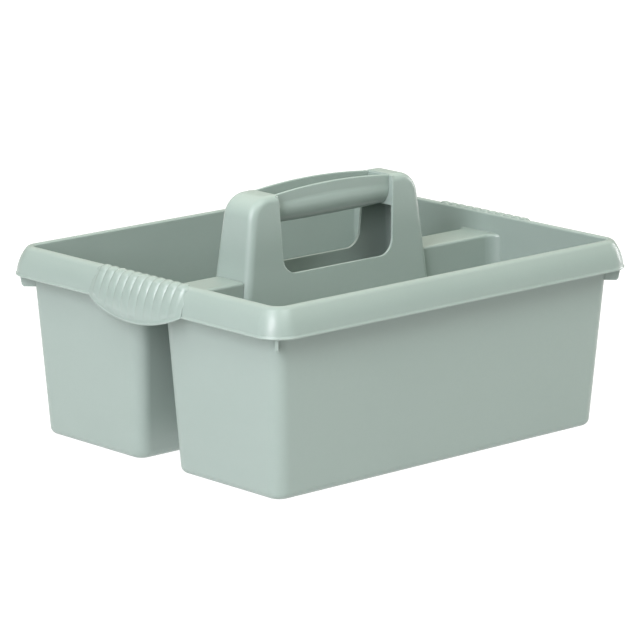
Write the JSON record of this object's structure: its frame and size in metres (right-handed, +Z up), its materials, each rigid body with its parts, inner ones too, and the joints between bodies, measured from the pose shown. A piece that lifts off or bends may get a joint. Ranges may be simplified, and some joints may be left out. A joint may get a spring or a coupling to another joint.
{
  "type": "cleaning caddy",
  "caption": "Open carrier for cleaning bottles and cloths: drafted bins either side of a hollow divider, an overhanging rim with ribbed end grips, and an arched carrying handle.",
  "frame": {"origin": "centre of the footprint, on the surface the caddy stands on", "axes": "+X along the long side, parallel to the divider and the handle; +Y across the bins; +Z up"},
  "size_m": [0.4106, 0.332, 0.2111],
  "materials": {
    "tub_plastic": "satin sage-green polypropylene, as moulded",
    "handle_plastic": "satin sage-green polypropylene, as moulded",
    "end_grip_plastic": "satin sage-green polypropylene, ribbed"
  },
  "bodies": {
    "root": {"tub": "tub_plastic", "handle_saddle": "handle_plastic", "handle_grip": "handle_plastic", "end_grip_left": "end_grip_plastic", "end_grip_right": "end_grip_plastic"}
  },
  "joints": []
}
